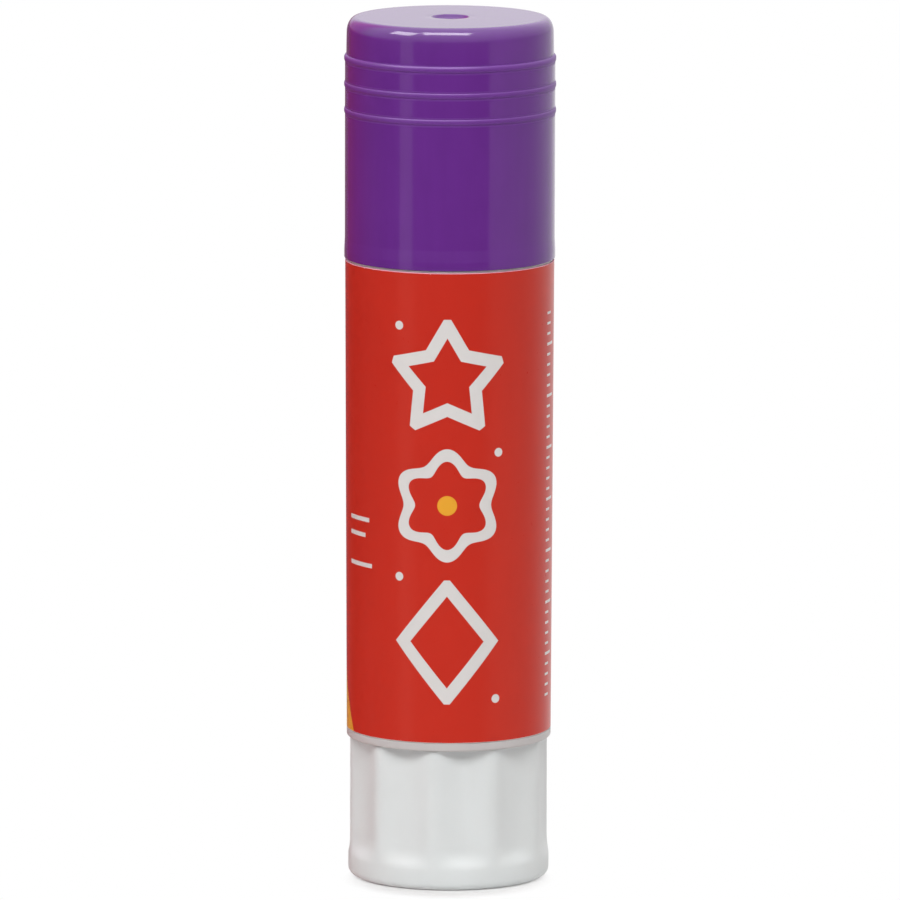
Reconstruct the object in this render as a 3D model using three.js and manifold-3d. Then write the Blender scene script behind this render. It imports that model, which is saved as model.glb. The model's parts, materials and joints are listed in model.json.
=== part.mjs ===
// A twist-up glue stick, closed, standing on its knob.
// Lengths are in millimetres and +Z is up. The origin is the middle of the foot that it stands on,
// and the front of the wrap faces -Y.

import * as THREE from 'three';
import { mergeVertices } from 'three/addons/utils/BufferGeometryUtils.js';
import Module from 'manifold-3d';

// Bore of the barrel, and the walls that stand round it
const boreRadius = 7.45;
const tubeWall = 0.8;
const coreGap = 0.75;
const skinWall = 0.69;
const skinDraft = 0.19;
const neckWall = 1.0;

// Barrel
const knobRunningGap = 0.15;
const rimHeight = 0.78;
const rimRounding = 0.35;
const lipHeight = 0.12;
const lipStep = 0.05;
const shoulderThickness = 1.1;
const neckHeight = 20.6;
const mouthChamfer = 0.3;
const floorThickness = 1.6;
const guideRibCount = 4;
const guideRibWidth = 1.0;
const guideRibHeight = 0.5;
const guideRibBelowMouth = 3.0;
const guideRibPhase = THREE.MathUtils.degToRad(45);
const guideClearance = 0.3;

// Printed wrap
const labelHeight = 45.35;
const labelThickness = 0.1;
const labelBackGap = 0.02;
const labelEdgeGap = 0.05;

// Snap beads that hold the cap on the neck
const snapHeight = 0.8;
const snapProud = 0.08;
const neckSnapRise = 2.3;
const capSnapRise = 1.2;

// Cap
const capSeatGap = 0.08;
const capClearance = 0.2;
const capWall = 1.23;
const capGripStep = 0.13;
const capMouthBeadHeight = 1.0;
const capMouthBeadStep = 0.05;
const capEdge = 0.15;
const capRibCount = 3;
const capRibPitch = 2.5;
const capRibHeight = 1.0;
const capRibProud = 0.11;
const capRibDrop = 4.1;
const crownThickness = 1.27;
const crownRise = 1.5;
const crownRun = 1.1;
const crownCorner = 0.6;
const dimpleRadius = 1.8;
const dimpleDepth = 0.45;

// Seal plug in the cap
const sealThickness = 0.9;
const sealCrownGap = 0.15;
const sealMouthGap = 0.2;
const sealEdgeClearance = 0.25;
const sealSkirtDepth = 0.9;
const sealSkirtWall = 0.7;

// Glue
const glueClearance = 0.3;
const glueBelowSeal = 0.3;
const glueDome = 0.3;
const glueEdge = 0.5;
const glueOverSpindle = 5.6;
const glueCupGap = 0.1;

// Carrier cup and its nut
const carrierClearance = 0.25;
const carrierRestGap = 0.3;
const carrierFloor = 1.2;
const cupHeight = 7.0;
const cupWall = 1.0;
const nutHeight = 6.4;
const nutWall = 1.0;

// Screw: a single start, right-hand trapezoid thread
const threadLead = 3.0;
const threadRadius = 2.5;
const threadDepth = 0.75;
const toothRootWidth = 1.5;
const toothCrestWidth = 0.7;
const nutRadialClearance = 0.3;
const nutFlankClearance = 0.22;
const spindleTipGap = 0.5;
const journalStep = 0.3;
const journalClearance = 0.3;
const journalEndGap = 0.15;
const snapBite = 0.25;
const spindleSnapHeight = 0.6;
const flangeRadius = 4.4;
const flangeThickness = 1.0;
const stubSide = 3.4;
const stubFit = 0.3;

// Knob
const knobHeight = 13.42;
const ridgeInset = 0.25;
const footInset = 0.16;
const footHeight = 2.95;
const footRounding = 1.2;
const footTopRounding = 0.4;
const fluteCount = 10;
const fluteDepth = 0.72;
const ridgeLand = 1.1;
const frontFluteAngle = THREE.MathUtils.degToRad(9 - 90);
const collarHeight = 1.5;
const collarTopGap = 0.4;
const collarClearance = 0.35;
const collarEdge = 0.2;
const knobWall = 1.1;
const knobFloor = 1.6;
const footRecessRadius = 6.5;
const footRecessDepth = 0.5;
const hubWall = 1.0;
const hubTopGap = 0.15;
const socketFloor = 1.55;
const spokeCount = 4;
const spokeThickness = 0.9;
const spokeDrop = 3.5;

// How finely round things are faceted
const roundSegments = 48;
const knobSegments = 60;
const threadSegments = 16;
const edgeSteps = 4;
const crownSteps = 6;
const fluteSteps = 3;
const weldTolerance = 1e-3;
const overcut = 1.0;

// Radii that follow from the walls
const neckRadius = boreRadius + neckWall;
const tubeRadius = boreRadius + tubeWall;
const skinInnerRadius = tubeRadius + coreGap;
const seatFootRadius = skinInnerRadius + skinWall;
const seatTopRadius = seatFootRadius + skinDraft;
const labelStep = labelBackGap + labelThickness;
const rimRadius = seatFootRadius + labelStep;
const lipRadius = seatTopRadius + lipStep;
const capInnerRadius = neckRadius + capClearance;
const capRadius = capInnerRadius + capWall;
const capGripRadius = capRadius + capGripStep;
const ribTipRadius = boreRadius - guideRibHeight;
const notchRadius = ribTipRadius - guideClearance;
const notchWidth = guideRibWidth + 2 * guideClearance;
const glueRadius = boreRadius - glueClearance;
const carrierRadius = boreRadius - carrierClearance;
const cupInnerRadius = carrierRadius - cupWall;
const threadRootRadius = threadRadius - threadDepth;
const nutCutRadius = threadRadius + nutRadialClearance;
const nutCutRootRadius = threadRootRadius + nutRadialClearance;
const nutRadius = nutCutRadius + nutWall;
const journalRadius = threadRadius + journalStep;
const floorHoleRadius = journalRadius + journalClearance;
const spindleSnapRadius = floorHoleRadius + snapBite;
const ridgeRadius = rimRadius - ridgeInset;
const fluteFloorRadius = ridgeRadius - fluteDepth;
const footRadius = rimRadius - footInset;
const collarRadius = skinInnerRadius - collarClearance;
const cavityRadius = fluteFloorRadius - knobWall;
const socketSide = stubSide + 2 * stubFit;
const hubRadius = socketSide * Math.SQRT1_2 + hubWall;

// Heights that follow from the stack of parts, from the foot up
const collarTop = knobHeight + collarHeight;
const rimBottom = knobHeight + knobRunningGap;
const recessBottom = rimBottom + rimHeight;
const labelBottom = recessBottom + labelEdgeGap;
const labelTop = labelBottom + labelHeight;
const recessTop = labelTop + labelEdgeGap;
const shoulderTop = recessTop + lipHeight;
const shoulderUnderside = shoulderTop - shoulderThickness;
const mouthTop = shoulderTop + neckHeight;
const floorUnderside = collarTop + collarTopGap;
const floorTop = floorUnderside + floorThickness;
const flangeTop = floorUnderside - journalEndGap;
const flangeBottom = flangeTop - flangeThickness;
const hubTop = flangeBottom - hubTopGap;
const socketBottom = knobFloor + socketFloor;
const stubBottom = socketBottom + stubFit;
const spindleSnapBottom = floorTop + journalEndGap;
const spindleSnapTop = spindleSnapBottom + spindleSnapHeight;
const carrierBottom = spindleSnapTop + carrierRestGap;
const carrierFloorTop = carrierBottom + carrierFloor;
const cupTop = carrierBottom + cupHeight;
const nutTop = carrierBottom + nutHeight;
const sealBottom = mouthTop + sealMouthGap;
const sealTop = sealBottom + sealThickness;
const skirtBottom = sealBottom - sealSkirtDepth;
const crownUnderside = sealTop + sealCrownGap;
const crownTop = crownUnderside + crownThickness;
const capMouth = shoulderTop + capSeatGap;
const glueTop = skirtBottom - glueBelowSeal;
const glueHoleTop = glueTop - glueOverSpindle;
const spindleTop = glueHoleTop - spindleTipGap;

const wasm = await Module();
wasm.setup();

function point(radius, height) {
  return new THREE.Vector2(radius, height);
}

// Points along a quarter of an ellipse, from one angle to another in degrees.
function arc(centre, runRadius, riseRadius, from, to, steps = edgeSteps) {
  const start = THREE.MathUtils.degToRad(from);
  const end = THREE.MathUtils.degToRad(to);
  const curve = new THREE.EllipseCurve(centre.x, centre.y, runRadius, riseRadius, start, end, end < start);
  return curve.getPoints(steps);
}

// Turns a closed geometry into a solid that can be cut and joined.
function solidFrom(geometry) {
  geometry.deleteAttribute('normal');
  geometry.deleteAttribute('uv');
  const welded = mergeVertices(geometry, weldTolerance);
  const corners = welded.index.array;
  const triangles = [];
  for (let i = 0; i < corners.length; i += 3) {
    const [a, b, c] = corners.slice(i, i + 3);
    if (a !== b && b !== c && c !== a) triangles.push(a, b, c);
  }
  return new wasm.Manifold(new wasm.Mesh({
    numProp: 3,
    vertProperties: new Float32Array(welded.attributes.position.array),
    triVerts: new Uint32Array(triangles),
  }));
}

// Turns a profile of (radius, height) points round the Z axis. The profile runs with its solid on the left.
function turned(profile, segments = roundSegments) {
  const geometry = new THREE.LatheGeometry(profile, segments);
  geometry.rotateX(Math.PI / 2);
  return solidFrom(geometry);
}

// A profile that doesn't touch the axis closes on its own first point.
function turnedRing(profile, segments = roundSegments) {
  return turned([...profile, profile[0].clone()], segments);
}

// A box that stands out from the axis like a spoke, from one radius to another.
function spoke(angle, width, innerRadius, outerRadius, bottom, top) {
  const geometry = new THREE.BoxGeometry(outerRadius - innerRadius, width, top - bottom);
  geometry.translate((innerRadius + outerRadius) / 2, 0, (bottom + top) / 2);
  geometry.rotateZ(angle);
  return solidFrom(geometry);
}

function spokes(count, phase, ...size) {
  const angles = Array.from({ length: count }, (_, i) => phase + (2 * Math.PI * i) / count);
  return angles.map((angle) => spoke(angle, ...size));
}

// A square bar on the axis.
function squareBar(side, bottom, top) {
  const geometry = new THREE.BoxGeometry(side, side, top - bottom);
  geometry.translate(0, 0, (bottom + top) / 2);
  return solidFrom(geometry);
}

// A right-hand screw: the outline of one tooth is carried up a helix and joined to the next turn.
// Every screw made here is in step with z = 0, so a nut cut and its spindle always mesh.
function screw(rootRadius, crestRadius, rootWidth, crestWidth, bottom, top) {
  const firstTurn = Math.floor(bottom / threadLead) - 1;
  const lastTurn = Math.ceil(top / threadLead) + 1;
  const stepCount = (lastTurn - firstTurn) * threadSegments;
  const outline = [
    point(rootRadius, -rootWidth / 2),
    point(crestRadius, -crestWidth / 2),
    point(crestRadius, crestWidth / 2),
    point(rootRadius, rootWidth / 2),
  ];
  const lastPoint = outline.length - 1;
  const positions = [];
  for (let step = 0; step <= stepCount; step += 1) {
    const angle = (2 * Math.PI * step) / threadSegments;
    const rise = (firstTurn + step / threadSegments) * threadLead;
    for (const corner of outline) {
      positions.push(corner.x * Math.cos(angle), corner.x * Math.sin(angle), corner.y + rise);
    }
  }
  const at = (step, corner) => step * outline.length + corner;
  const triangles = [];
  const addQuad = (a, b, c, d) => triangles.push(a, b, c, a, c, d);
  for (let step = 0; step < stepCount; step += 1) {
    for (let corner = 0; corner < lastPoint; corner += 1) {
      addQuad(at(step, corner), at(step + 1, corner), at(step + 1, corner + 1), at(step, corner + 1));
    }
    const above = step + threadSegments;
    if (above < stepCount) {
      addQuad(at(step, lastPoint), at(step + 1, lastPoint), at(above + 1, 0), at(above, 0));
    }
  }
  const bottomCentre = positions.length / 3;
  positions.push(0, 0, (firstTurn + 0.25) * threadLead);
  const topCentre = bottomCentre + 1;
  positions.push(0, 0, (lastTurn - 0.25) * threadLead);
  const turn = Array.from({ length: threadSegments + 1 }, (_, step) => step);
  const bottomEdge = [
    ...turn.map((step) => at(step, 0)),
    ...outline.map((_, corner) => at(0, corner)).reverse(),
  ];
  const topEdge = [
    ...turn.map((step) => at(stepCount - threadSegments + step, lastPoint)),
    ...outline.map((_, corner) => at(stepCount, corner)).reverse().slice(1),
    at(stepCount - threadSegments, lastPoint),
  ];
  for (let i = 0; i < bottomEdge.length - 1; i += 1) {
    triangles.push(bottomCentre, bottomEdge[i + 1], bottomEdge[i]);
  }
  for (let i = 0; i < topEdge.length - 1; i += 1) {
    triangles.push(topCentre, topEdge[i], topEdge[i + 1]);
  }
  const geometry = new THREE.BufferGeometry();
  geometry.setAttribute('position', new THREE.Float32BufferAttribute(positions, 3));
  geometry.setIndex(triangles);
  return solidFrom(geometry);
}

function finish(color, roughness) {
  return new THREE.MeshStandardMaterial({ color, roughness, metalness: 0 });
}

function part(name, solid, material) {
  const { vertProperties, triVerts } = solid.getMesh();
  const geometry = new THREE.BufferGeometry();
  geometry.setAttribute('position', new THREE.BufferAttribute(vertProperties, 3));
  geometry.setIndex(new THREE.BufferAttribute(triVerts, 1));
  geometry.computeVertexNormals();
  const mesh = new THREE.Mesh(geometry, material);
  mesh.name = name;
  return mesh;
}

// Cap: a tube with a rounded crown, three thin grip ribs, a mouth bead and the dimple left by its gate.
function capRib(height) {
  return [
    point(capGripRadius, height - capRibHeight / 2),
    point(capGripRadius + capRibProud, height - capRibHeight / 4),
    point(capGripRadius + capRibProud, height + capRibHeight / 4),
    point(capGripRadius, height + capRibHeight / 2),
  ];
}

function makeCap() {
  const topRib = crownTop - capRibDrop;
  const ribs = [];
  for (let rib = capRibCount - 1; rib >= 0; rib -= 1) {
    ribs.push(...capRib(topRib - rib * capRibPitch));
  }
  const bead = capGripRadius + capMouthBeadStep;
  const snap = capMouth + capSnapRise;
  return turned([
    point(0, crownUnderside),
    point(capInnerRadius - crownCorner, crownUnderside),
    point(capInnerRadius, crownUnderside - crownCorner),
    point(capInnerRadius, snap + snapHeight / 2),
    point(capInnerRadius - snapProud, snap),
    point(capInnerRadius, snap - snapHeight / 2),
    point(capInnerRadius, capMouth + capEdge),
    point(capInnerRadius + capEdge, capMouth),
    point(bead - capEdge, capMouth),
    point(bead, capMouth + capEdge),
    point(bead, capMouth + capMouthBeadHeight),
    point(capGripRadius, capMouth + capMouthBeadHeight + capEdge),
    ...ribs,
    point(capRadius, topRib + capRibHeight / 2 + capEdge),
    ...arc(point(capRadius - crownRun, crownTop - crownRise), crownRun, crownRise, 0, 90, crownSteps),
    ...arc(point(0, crownTop), dimpleRadius, dimpleDepth, 0, -90),
  ]);
}

// Seal: a disc under the crown with a short skirt that plugs the mouth of the barrel.
function makeCapSeal() {
  const discRadius = capInnerRadius - sealEdgeClearance;
  const skirtRadius = boreRadius - sealEdgeClearance;
  const cornerDrop = Math.max(crownCorner - sealCrownGap, 0);
  return turned([
    point(0, sealBottom),
    point(skirtRadius - sealSkirtWall, sealBottom),
    point(skirtRadius - sealSkirtWall, skirtBottom),
    point(skirtRadius, skirtBottom),
    point(skirtRadius, sealBottom),
    point(discRadius, sealBottom),
    point(discRadius, sealTop - cornerDrop),
    point(discRadius - cornerDrop, sealTop),
    point(0, sealTop),
  ]);
}

// Barrel: the bore tube with its floor and neck, hung by the shoulder inside the outer skin.
function makeBarrel() {
  const snap = shoulderTop + neckSnapRise;
  const shell = turnedRing([
    point(skinInnerRadius, rimBottom),
    ...arc(point(rimRadius - rimRounding, rimBottom + rimRounding), rimRounding, rimRounding, -90, 0),
    point(rimRadius, recessBottom),
    point(seatFootRadius, recessBottom),
    point(seatTopRadius, recessTop),
    point(lipRadius, recessTop),
    point(lipRadius, shoulderTop - lipHeight / 2),
    point(lipRadius - lipHeight / 2, shoulderTop),
    point(neckRadius, shoulderTop),
    point(neckRadius, snap - snapHeight / 2),
    point(neckRadius + snapProud, snap),
    point(neckRadius, snap + snapHeight / 2),
    point(neckRadius, mouthTop - mouthChamfer),
    point(neckRadius - mouthChamfer, mouthTop),
    point(boreRadius + mouthChamfer, mouthTop),
    point(boreRadius, mouthTop - mouthChamfer),
    point(boreRadius, floorTop),
    point(floorHoleRadius, floorTop),
    point(floorHoleRadius, floorUnderside),
    point(tubeRadius, floorUnderside),
    point(tubeRadius, shoulderUnderside),
    point(skinInnerRadius, shoulderUnderside),
  ]);
  const ribRoot = boreRadius + tubeWall / 2;
  const ribBottom = floorTop - floorThickness / 2;
  const ribTop = mouthTop - guideRibBelowMouth;
  const ribs = spokes(guideRibCount, guideRibPhase, guideRibWidth, ribTipRadius, ribRoot, ribBottom, ribTop);
  return ribs.reduce((solid, rib) => solid.add(rib), shell);
}

// Label: a thin sleeve in the shallow recess round the barrel.
function makeLabel() {
  const slope = skinDraft / (recessTop - recessBottom);
  const back = (height) => seatFootRadius + labelBackGap + slope * (height - recessBottom);
  return turnedRing([
    point(back(labelBottom), labelBottom),
    point(back(labelBottom) + labelThickness, labelBottom),
    point(back(labelTop) + labelThickness, labelTop),
    point(back(labelTop), labelTop),
  ]);
}

// Knob: a fluted grip over a foot ring, with a collar that guides it inside the rim of the barrel,
// and a hub with a square socket for the foot of the screw.
function flutedGrip(bottom, top) {
  const pitch = (2 * Math.PI) / fluteCount;
  const halfFlute = (pitch - ridgeLand / ridgeRadius) / 2;
  const halfChord = ridgeRadius * Math.sin(halfFlute);
  const sagitta = ridgeRadius * Math.cos(halfFlute) - fluteFloorRadius;
  const fluteRadius = (halfChord ** 2 + sagitta ** 2) / (2 * sagitta);
  const centreDistance = fluteFloorRadius + fluteRadius;
  const sweep = Math.asin(halfChord / fluteRadius);
  const outline = new THREE.Shape();
  for (let flute = 0; flute < fluteCount; flute += 1) {
    const middle = frontFluteAngle + flute * pitch;
    const inward = middle + Math.PI;
    const x = centreDistance * Math.cos(middle);
    const y = centreDistance * Math.sin(middle);
    outline.absarc(x, y, fluteRadius, inward + sweep, inward - sweep, true);
  }
  outline.closePath();
  const size = { depth: top - bottom, bevelEnabled: false, curveSegments: fluteSteps };
  const geometry = new THREE.ExtrudeGeometry(outline, size);
  geometry.translate(0, 0, bottom);
  return solidFrom(geometry);
}

function makeKnob() {
  const footBottomCentre = point(footRadius - footRounding, footRounding);
  const footTopCentre = point(footRadius - footTopRounding, footHeight - footTopRounding);
  const foot = turned([
    point(0, footRecessDepth),
    point(footRecessRadius, footRecessDepth),
    point(footRecessRadius, 0),
    ...arc(footBottomCentre, footRounding, footRounding, -90, 0),
    ...arc(footTopCentre, footTopRounding, footTopRounding, 0, 90),
    point(0, footHeight),
  ], knobSegments);
  const collar = turned([
    point(0, footHeight),
    point(fluteFloorRadius - knobWall / 2, footHeight),
    point(fluteFloorRadius - knobWall / 2, knobHeight - overcut),
    point(collarRadius - knobWall / 2, knobHeight - overcut),
    point(collarRadius, knobHeight),
    point(collarRadius, collarTop - collarEdge),
    point(collarRadius - collarEdge, collarTop),
    point(0, collarTop),
  ], knobSegments);
  const cavity = turned([
    point(0, hubTop),
    point(hubRadius, hubTop),
    point(hubRadius, knobFloor),
    point(cavityRadius, knobFloor),
    point(cavityRadius, collarTop + overcut),
    point(0, collarTop + overcut),
  ], knobSegments);
  const spokeEnd = cavityRadius + knobWall / 2;
  const spokeTop = knobHeight - spokeDrop;
  const webs = spokes(spokeCount, 0, spokeThickness, hubRadius / 2, spokeEnd, knobFloor / 2, spokeTop);
  const hollow = webs.reduce((solid, web) => solid.subtract(web), cavity);
  const grip = flutedGrip(footHeight / 2, knobHeight);
  const socket = squareBar(socketSide, socketBottom, hubTop + overcut);
  return foot.add(grip).add(collar).subtract(hollow).subtract(socket);
}

// Screw spindle: the thread through the glue, a journal that snaps through the floor of the barrel,
// a flange under that floor and a square foot in the knob.
function makeSpindle() {
  const thread = screw(
    threadRootRadius, threadRadius, toothRootWidth, toothCrestWidth, spindleSnapTop, spindleTop,
  );
  const envelope = turned([
    point(0, spindleSnapBottom),
    point(threadRadius + overcut, spindleSnapBottom),
    point(threadRadius + overcut, spindleTop - threadDepth - overcut),
    point(threadRootRadius, spindleTop),
    point(0, spindleTop),
  ]);
  const journal = turned([
    point(0, flangeBottom),
    point(flangeRadius, flangeBottom),
    point(flangeRadius, flangeTop),
    point(journalRadius, flangeTop),
    point(journalRadius, spindleSnapBottom),
    point(spindleSnapRadius, spindleSnapBottom),
    point(threadRadius, spindleSnapTop),
    point(0, spindleSnapTop),
  ]);
  const stub = squareBar(stubSide, stubBottom, flangeBottom + flangeThickness / 2);
  return thread.intersect(envelope).add(journal).add(stub);
}

// Carrier: a shallow cup with a nut in its middle and a notch for each guide rib of the barrel.
function makeCarrier() {
  const cup = turned([
    point(0, carrierBottom),
    point(carrierRadius, carrierBottom),
    point(carrierRadius, cupTop),
    point(cupInnerRadius, cupTop),
    point(cupInnerRadius, carrierFloorTop),
    point(nutRadius, carrierFloorTop),
    point(nutRadius, nutTop),
    point(0, nutTop),
  ]);
  const nutCut = screw(
    nutCutRootRadius,
    nutCutRadius,
    toothWidthAt(nutCutRootRadius) + 2 * nutFlankClearance,
    toothWidthAt(nutCutRadius) + 2 * nutFlankClearance,
    carrierBottom,
    nutTop,
  );
  return cutNotches(cup.subtract(nutCut), carrierBottom, cupTop);
}

function toothWidthAt(radius) {
  const slope = (toothRootWidth - toothCrestWidth) / threadDepth;
  return toothRootWidth - slope * (radius - threadRootRadius);
}

function cutNotches(solid, bottom, top) {
  const size = [notchWidth, notchRadius, boreRadius + overcut, bottom - overcut, top + overcut];
  const notches = spokes(guideRibCount, guideRibPhase, ...size);
  return notches.reduce((rest, notch) => rest.subtract(notch), solid);
}

// Glue: cast in the cup and up the bore, round the screw and the guide ribs, with a low domed top.
function makeGlue() {
  const clearRadius = threadRadius + glueClearance;
  const pocketRadius = nutRadius + glueClearance;
  const plugRadius = cupInnerRadius - glueCupGap;
  const sideTop = glueTop - glueDome - glueEdge;
  const column = turned([
    point(0, glueHoleTop),
    point(clearRadius, glueHoleTop),
    point(clearRadius, nutTop + glueClearance),
    point(pocketRadius, nutTop + glueClearance),
    point(pocketRadius, carrierFloorTop + glueCupGap),
    point(plugRadius, carrierFloorTop + glueCupGap),
    point(plugRadius, cupTop + glueCupGap),
    point(glueRadius, cupTop + glueCupGap),
    ...arc(point(glueRadius - glueEdge, sideTop), glueEdge, glueEdge, 0, 90),
    point(0, glueTop),
  ]);
  return cutNotches(column, cupTop, glueTop);
}

const capPurple = finish(0x672f8a, 0.3);
const sealWhite = finish(0xe4e4e2, 0.45);
const barrelWhite = finish(0xdddfde, 0.4);
const labelRed = finish(0xc82f27, 0.3);
const knobWhite = finish(0xdbdddc, 0.4);
const spindleWhite = finish(0xd6d8d6, 0.45);
const carrierWhite = finish(0xe0e1df, 0.45);
const gluePurple = finish(0x8d6fae, 0.5);

const glueStick = new THREE.Group();
glueStick.add(
  part('cap', makeCap(), capPurple),
  part('cap_seal', makeCapSeal(), sealWhite),
  part('barrel', makeBarrel(), barrelWhite),
  part('label', makeLabel(), labelRed),
  part('base_knob', makeKnob(), knobWhite),
  part('screw_spindle', makeSpindle(), spindleWhite),
  part('glue_carrier', makeCarrier(), carrierWhite),
  part('glue_core', makeGlue(), gluePurple),
);

export default glueStick;
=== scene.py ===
# A twist-up glue stick with its cap on, dressed for a close look and standing on a pale floor.
# Sizes are in millimetres unless a name says otherwise. Angles round the axis start at the front: the
# ones among the sizes are in degrees, and functions take radians.

import functools
import json
import math

import bmesh
import bpy
from mathutils import Matrix, Vector, noise

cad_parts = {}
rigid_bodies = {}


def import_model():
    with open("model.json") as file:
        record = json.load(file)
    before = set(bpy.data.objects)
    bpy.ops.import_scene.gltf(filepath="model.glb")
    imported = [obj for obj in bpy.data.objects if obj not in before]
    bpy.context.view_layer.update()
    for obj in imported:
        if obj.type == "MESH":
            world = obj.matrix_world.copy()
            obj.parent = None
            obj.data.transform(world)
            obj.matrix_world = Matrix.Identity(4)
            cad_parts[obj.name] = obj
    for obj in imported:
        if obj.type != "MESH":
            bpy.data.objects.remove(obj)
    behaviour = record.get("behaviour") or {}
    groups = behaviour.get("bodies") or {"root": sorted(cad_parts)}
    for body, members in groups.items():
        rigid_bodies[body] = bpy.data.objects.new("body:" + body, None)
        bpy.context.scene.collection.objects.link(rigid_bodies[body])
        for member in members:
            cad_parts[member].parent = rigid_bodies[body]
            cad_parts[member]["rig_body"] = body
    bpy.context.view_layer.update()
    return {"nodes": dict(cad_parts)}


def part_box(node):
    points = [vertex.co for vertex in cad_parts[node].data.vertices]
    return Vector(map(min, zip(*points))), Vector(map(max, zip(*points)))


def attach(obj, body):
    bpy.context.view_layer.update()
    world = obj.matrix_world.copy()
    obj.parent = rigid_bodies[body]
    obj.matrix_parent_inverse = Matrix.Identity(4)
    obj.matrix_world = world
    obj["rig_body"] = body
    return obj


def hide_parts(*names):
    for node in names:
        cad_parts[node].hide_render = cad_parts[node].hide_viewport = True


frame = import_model()

MM = 0.001
ON_AXIS = 1e-6
SHARP = math.radians(40)

# Faces round the axis, and steps along a curve
SEGMENTS = 160
FINE_SEGMENTS = 240
SCREW_SEGMENTS = 96
THREAD_SEGMENTS = 48
FLOOR_SEGMENTS = 96
ARC_STEPS = 5
SMALL_ARC_STEPS = 3
BULGE_STEPS = 8
SHOULDER_STEPS = 6
CROWN_STEPS = 12
FLARE_STEPS = 10

# Where a Mix node keeps its numbers and colours
FIRST_NUMBER = 2
SECOND_NUMBER = 3
FIRST_COLOUR = 6
SECOND_COLOUR = 7
MIXED_COLOUR = 2


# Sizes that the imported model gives

@functools.cache
def low(node):
    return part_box(node)[0].z / MM


@functools.cache
def high(node):
    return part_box(node)[1].z / MM


@functools.cache
def reach(node):
    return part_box(node)[1].x / MM


# Cap
crown_top = high("cap")
crown_run = 0.96
crown_rise = 1.42
crown_thickness = 1.27
cap_ceiling = crown_top - crown_thickness
cap_mouth_drop = 0.05
cap_mouth = low("cap") - cap_mouth_drop
cap_inner = 8.65
rib_count = 3
rib_pitch = 2.5
rib_proud = 0.085
rib_height = 0.54
rib_shoulder = 0.36
top_rib_depth = 3.92
top_rib = crown_top - top_rib_depth
lowest_rib = top_rib - (rib_count - 1) * rib_pitch
grip_radius = reach("cap") - rib_proud
band_step = 0.13
band_radius = grip_radius - band_step
band_lean = 0.03
band_land = 0.04
mouth_bead_proud = 0.05
mouth_bead = grip_radius + mouth_bead_proud
mouth_bead_height = 1.0
bead_slope_below = 0.2
bead_slope_above = 0.9
snap_proud = 0.08
snap_height = 0.8
cap_snap_rise = 1.2
cap_snap = cap_mouth + cap_snap_rise
dimple_radius = 1.8
dimple_depth = 0.5
nib_radius = 0.35
nib_height = 0.12

# Seal in the cap
seal_gap = 0.2
seal_chamfer = 0.45
skirt_inner = 6.5
skirt_outer = 7.2

# Barrel
rim_bottom = low("barrel")
rim_radius = 9.81
rim_height = 0.78
skin_inner = 9.0
seat_foot = 9.69
seat_top = 9.88
wrap_slack = 0.05
recess_bottom = rim_bottom + rim_height
recess_top = high("label") + wrap_slack
lip_radius = reach("barrel")
lip_height = 0.12
shoulder_top = recess_top + lip_height
shoulder_thickness = 1.1
shoulder_under = shoulder_top - shoulder_thickness
mouth_top = high("barrel")
neck_radius = 8.45
neck_snap_rise = 2.3
neck_snap = shoulder_top + neck_snap_rise
bore_radius = 7.45
tube_radius = 8.25
knob_clearance = 0.4
floor_under = high("base_knob") + knob_clearance
floor_thickness = 1.6
barrel_floor = floor_under + floor_thickness
floor_hole = 3.1
guide_count = 4
guide_phase = 45
guide_width = 1.0
guide_depth = 0.5
guide_edge_in = 0.05
guide_edge_out = 0.15
guide_lead_in = 0.6
guide_drop = 3.0
guide_top = mouth_top - guide_drop

# Printed wrap
wrap_thickness = 0.1
wrap_gap = 0.02
wrap_overlap = 0.05
overlap_start = 176
overlap_begins_over = 1
overlap_end = 206
overlap_ends_over = 6
cut_wobble = 0.025
cut_waves = 5
ink_edge = 0.03
stroke = 1.2
motif_middle = -0.2
flower_height = 37.4
first_tick = 17.0
panel_height = 37.0
nick_reach = 0.14
top_cut_reach = 0.08
foot_cut_reach = 0.055

# Knob
foot_radius = reach("base_knob")
foot_rounding = 0.7
flare_foot = 1.95
flare_rise = 2.4
flare_bend = 2.3
flute_taper = 0.4
flute_floor = 8.84
flute_count = 10
front_flute = 9
ridge_radius = 9.56
ridge_land = 1.1
ridge_softness = 0.4
knob_gap = 0.03
knob_top = rim_bottom - knob_gap
knob_floor = 1.6
collar_top = high("base_knob")
collar_radius = 8.65
cavity_radius = 7.74
hub_radius = 3.83
hub_depth = 0.9
hub_top = collar_top - hub_depth
socket_side = 4.0
socket_floor = 3.15
web_count = 4
web_thickness = 0.9
web_bury = 0.3
web_depth = 3.5
recess_radius = 6.5
recess_depth = 0.5

# Screw
thread_lead = 3.0
thread_crest = 2.5
thread_root = 1.75
thread_bury = 0.1
thread_run_in_turns = 0.3
stub_side = 3.4
flange_gap = 0.15
flange_bottom = hub_top + flange_gap
flange_thickness = 1.0
flange_top = flange_bottom + flange_thickness
journal_radius = 2.8
catch_radius = 3.35
catch_gap = 0.15
catch_bottom = barrel_floor + catch_gap
catch_height = 0.6
catch_top = catch_bottom + catch_height

# Carrier
cup_radius = reach("glue_carrier")
cup_inner = 6.2
cup_thickness = 1.2
cup_floor = low("glue_carrier") + cup_thickness
nut_bore = 2.8
nut_crest = 2.08
nut_radius = 3.8
nut_drop = 0.6
nut_top = high("glue_carrier") - nut_drop
notch_radius = 6.65
notch_width = 1.6
notch_edge_in = 0.1
notch_edge_out = 0.25

# Glue
glue_hole = 2.8
glue_hole_depth = 5.6
glue_hole_top = high("glue_core") - glue_hole_depth
glue_edge = 0.6
glue_edge_fall = 0.3
dome_run = 2.0
dome_fall = 0.08
sink_rim = 1.2
sink_floor = 0.7
sink_depth = 0.1
sink_middle_depth = 0.12
nut_room = 0.3
cup_play = 0.1


# Outlines

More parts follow.
